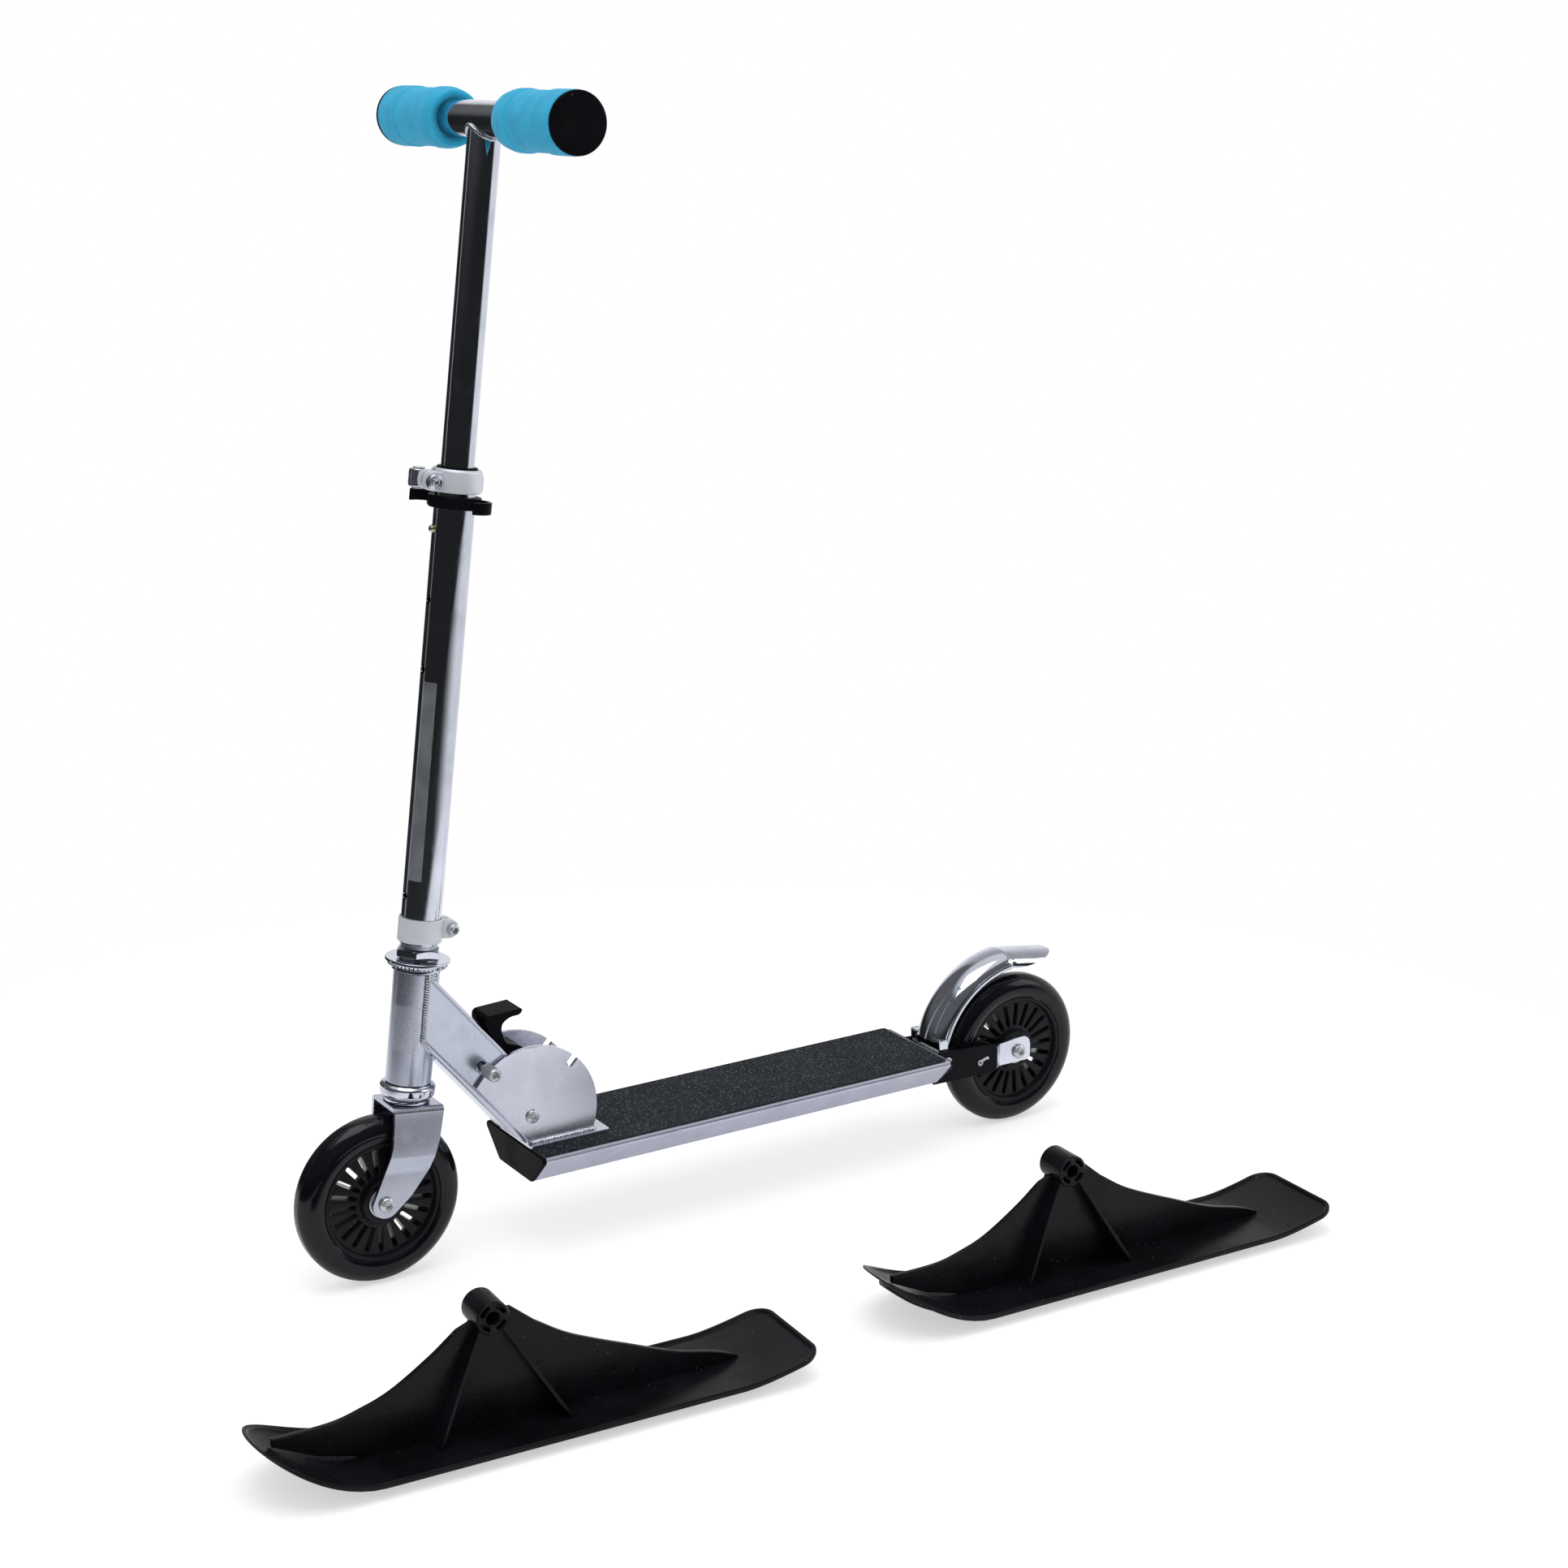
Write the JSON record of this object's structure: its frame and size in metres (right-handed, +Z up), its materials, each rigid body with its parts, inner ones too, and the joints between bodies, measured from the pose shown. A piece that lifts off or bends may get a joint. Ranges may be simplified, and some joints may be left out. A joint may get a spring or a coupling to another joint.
{
  "type": "folding snow scooter",
  "caption": "Folding kick scooter with a telescopic T-bar, foam grips and a foot brake, lying beside the snow skis that replace its wheels.",
  "frame": {"origin": "on the ground, under the middle of the box that holds the scooter and the two skis that lie beside it", "axes": "+X towards the rear of the scooter, +Y from the skis towards the scooter and away from the pictured side, +Z up"},
  "size_m": [0.8016, 0.4332, 0.8008],
  "materials": {
    "chrome": "polished chrome plate on steel tube",
    "satin_steel": "satin nickel plate on pressed and welded steel",
    "deck_alloy": "satin bare aluminium",
    "zinc_steel": "zinc plated steel",
    "brass": "brass plated steel",
    "black_plastic": "moulded nylon",
    "ski_plastic": "moulded polyethylene",
    "black_paint": "black powder coat",
    "grip_tape": "coarse grit on adhesive sheet",
    "blue_foam": "closed-cell foam",
    "tyre_black": "glossy cast polyurethane"
  },
  "bodies": {
    "chassis": {"deck_extrusion": "deck_alloy", "grip_tape": "grip_tape", "front_end_cap": "black_plastic", "fold_bracket": "satin_steel", "pivot_bolt": "zinc_steel", "pivot_nut": "zinc_steel", "rear_fork": "black_paint", "axle_plate_near": "satin_steel", "axle_plate_far": "satin_steel", "rear_axle_bolt": "zinc_steel", "rear_axle_nut": "zinc_steel", "fender_pin": "zinc_steel", "fender_spring": "zinc_steel"},
    "rear_wheel": {"rear_tyre": "tyre_black", "rear_hub": "black_plastic", "rear_bearing_near": "zinc_steel", "rear_bearing_far": "zinc_steel", "rear_bearing_spacer": "zinc_steel"},
    "fender": {"rear_fender": "chrome"},
    "neck": {"neck_and_head_tube": "satin_steel", "lower_cup": "chrome", "upper_cup": "chrome", "lower_head_bearing": "zinc_steel", "upper_head_bearing": "zinc_steel"},
    "fold_lock": {"lock_pin": "zinc_steel", "lock_knob_near": "zinc_steel", "lock_knob_far": "zinc_steel", "release_lever": "black_plastic", "lock_spring": "zinc_steel"},
    "steering": {"crown_race": "chrome", "headset_flange": "chrome", "lock_nut": "chrome", "fork_and_steerer": "satin_steel", "front_axle_bolt": "zinc_steel", "front_axle_nut": "zinc_steel", "lower_clamp": "deck_alloy", "lower_clamp_bolt": "zinc_steel", "outer_stem_tube": "chrome", "stem_sleeve": "black_plastic", "upper_clamp": "deck_alloy", "quick_release_skewer": "zinc_steel", "adjuster_nut": "zinc_steel", "grip_holder": "black_plastic"},
    "clamp_lever": {"quick_release_lever": "deck_alloy"},
    "button": {"snap_button": "brass"},
    "front_wheel": {"front_tyre": "tyre_black", "front_hub": "black_plastic", "front_bearing_near": "zinc_steel", "front_bearing_far": "zinc_steel", "front_bearing_spacer": "zinc_steel"},
    "stem": {"t_bar": "chrome", "stem_bush": "black_plastic"},
    "near_grip": {"handle_tube_near": "chrome", "foam_grip_near": "blue_foam", "bar_end_cap_near": "black_plastic"},
    "far_grip": {"handle_tube_far": "chrome", "foam_grip_far": "blue_foam", "bar_end_cap_far": "black_plastic"},
    "ski_one": {"front_ski": "ski_plastic"},
    "ski_two": {"rear_ski": "ski_plastic"}
  },
  "joints": [
    {"name": "fold_hinge", "type": "hinge", "parent": "chassis", "child": "neck", "pos_m": [-0.09903, 0.09003, 0.102], "axis": [0, 1, 0], "range_deg": [0, 82]},
    {"name": "lock_slide", "type": "slide", "parent": "neck", "child": "fold_lock", "axis": [0.632, 0, -0.7749], "range_m": [-0.003, 0.009], "stiffness_N_per_m": 300},
    {"name": "steering_turn", "type": "hinge", "parent": "neck", "child": "steering", "pos_m": [-0.20124, 0.09003, 0], "axis": [0.1279, 0, 0.9918], "continuous": true},
    {"name": "front_wheel_spin", "type": "hinge", "parent": "steering", "child": "front_wheel", "pos_m": [-0.21003, 0.09003, 0.06], "axis": [0, 1, 0], "continuous": true},
    {"name": "rear_wheel_spin", "type": "hinge", "parent": "chassis", "child": "rear_wheel", "pos_m": [0.33197, 0.09003, 0.06], "axis": [0, 1, 0], "continuous": true},
    {"name": "fender_brake", "type": "hinge", "parent": "chassis", "child": "fender", "pos_m": [0.25727, 0.09003, 0.0687], "axis": [0, 1, 0], "range_deg": [0, 14], "stiffness_Nm_per_rad": 1.2, "springref_deg": -11.46},
    {"name": "stem_telescope", "type": "slide", "parent": "steering", "child": "stem", "axis": [0.1279, 0, 0.9918], "range_m": [-0.188, 0]},
    {"name": "quick_release", "type": "hinge", "parent": "steering", "child": "clamp_lever", "pos_m": [-0.15164, 0.10303, 0.55259], "axis": [0.1279, 0, 0.9918], "range_deg": [0, 115]},
    {"name": "snap_button_press", "type": "slide", "parent": "steering", "child": "button", "axis": [0.9918, 0, -0.1279], "range_m": [0, 0.0035], "stiffness_N_per_m": 500, "springref_m": -0.001},
    {"name": "near_grip_pull", "type": "slide", "parent": "stem", "child": "near_grip", "axis": [0, -1, 0], "range_m": [0, 0.03], "stiffness_N_per_m": 120, "springref_m": -0.02},
    {"name": "far_grip_pull", "type": "slide", "parent": "stem", "child": "far_grip", "axis": [0, 1, 0], "range_m": [0, 0.03], "stiffness_N_per_m": 120, "springref_m": -0.02},
    {"name": "front_ski_lift", "type": "slide", "parent": "chassis", "child": "ski_one", "axis": [0, 0, 1], "range_m": [0, 0.15]},
    {"name": "rear_ski_lift", "type": "slide", "parent": "chassis", "child": "ski_two", "axis": [0, 0, 1], "range_m": [0, 0.15]}
  ]
}
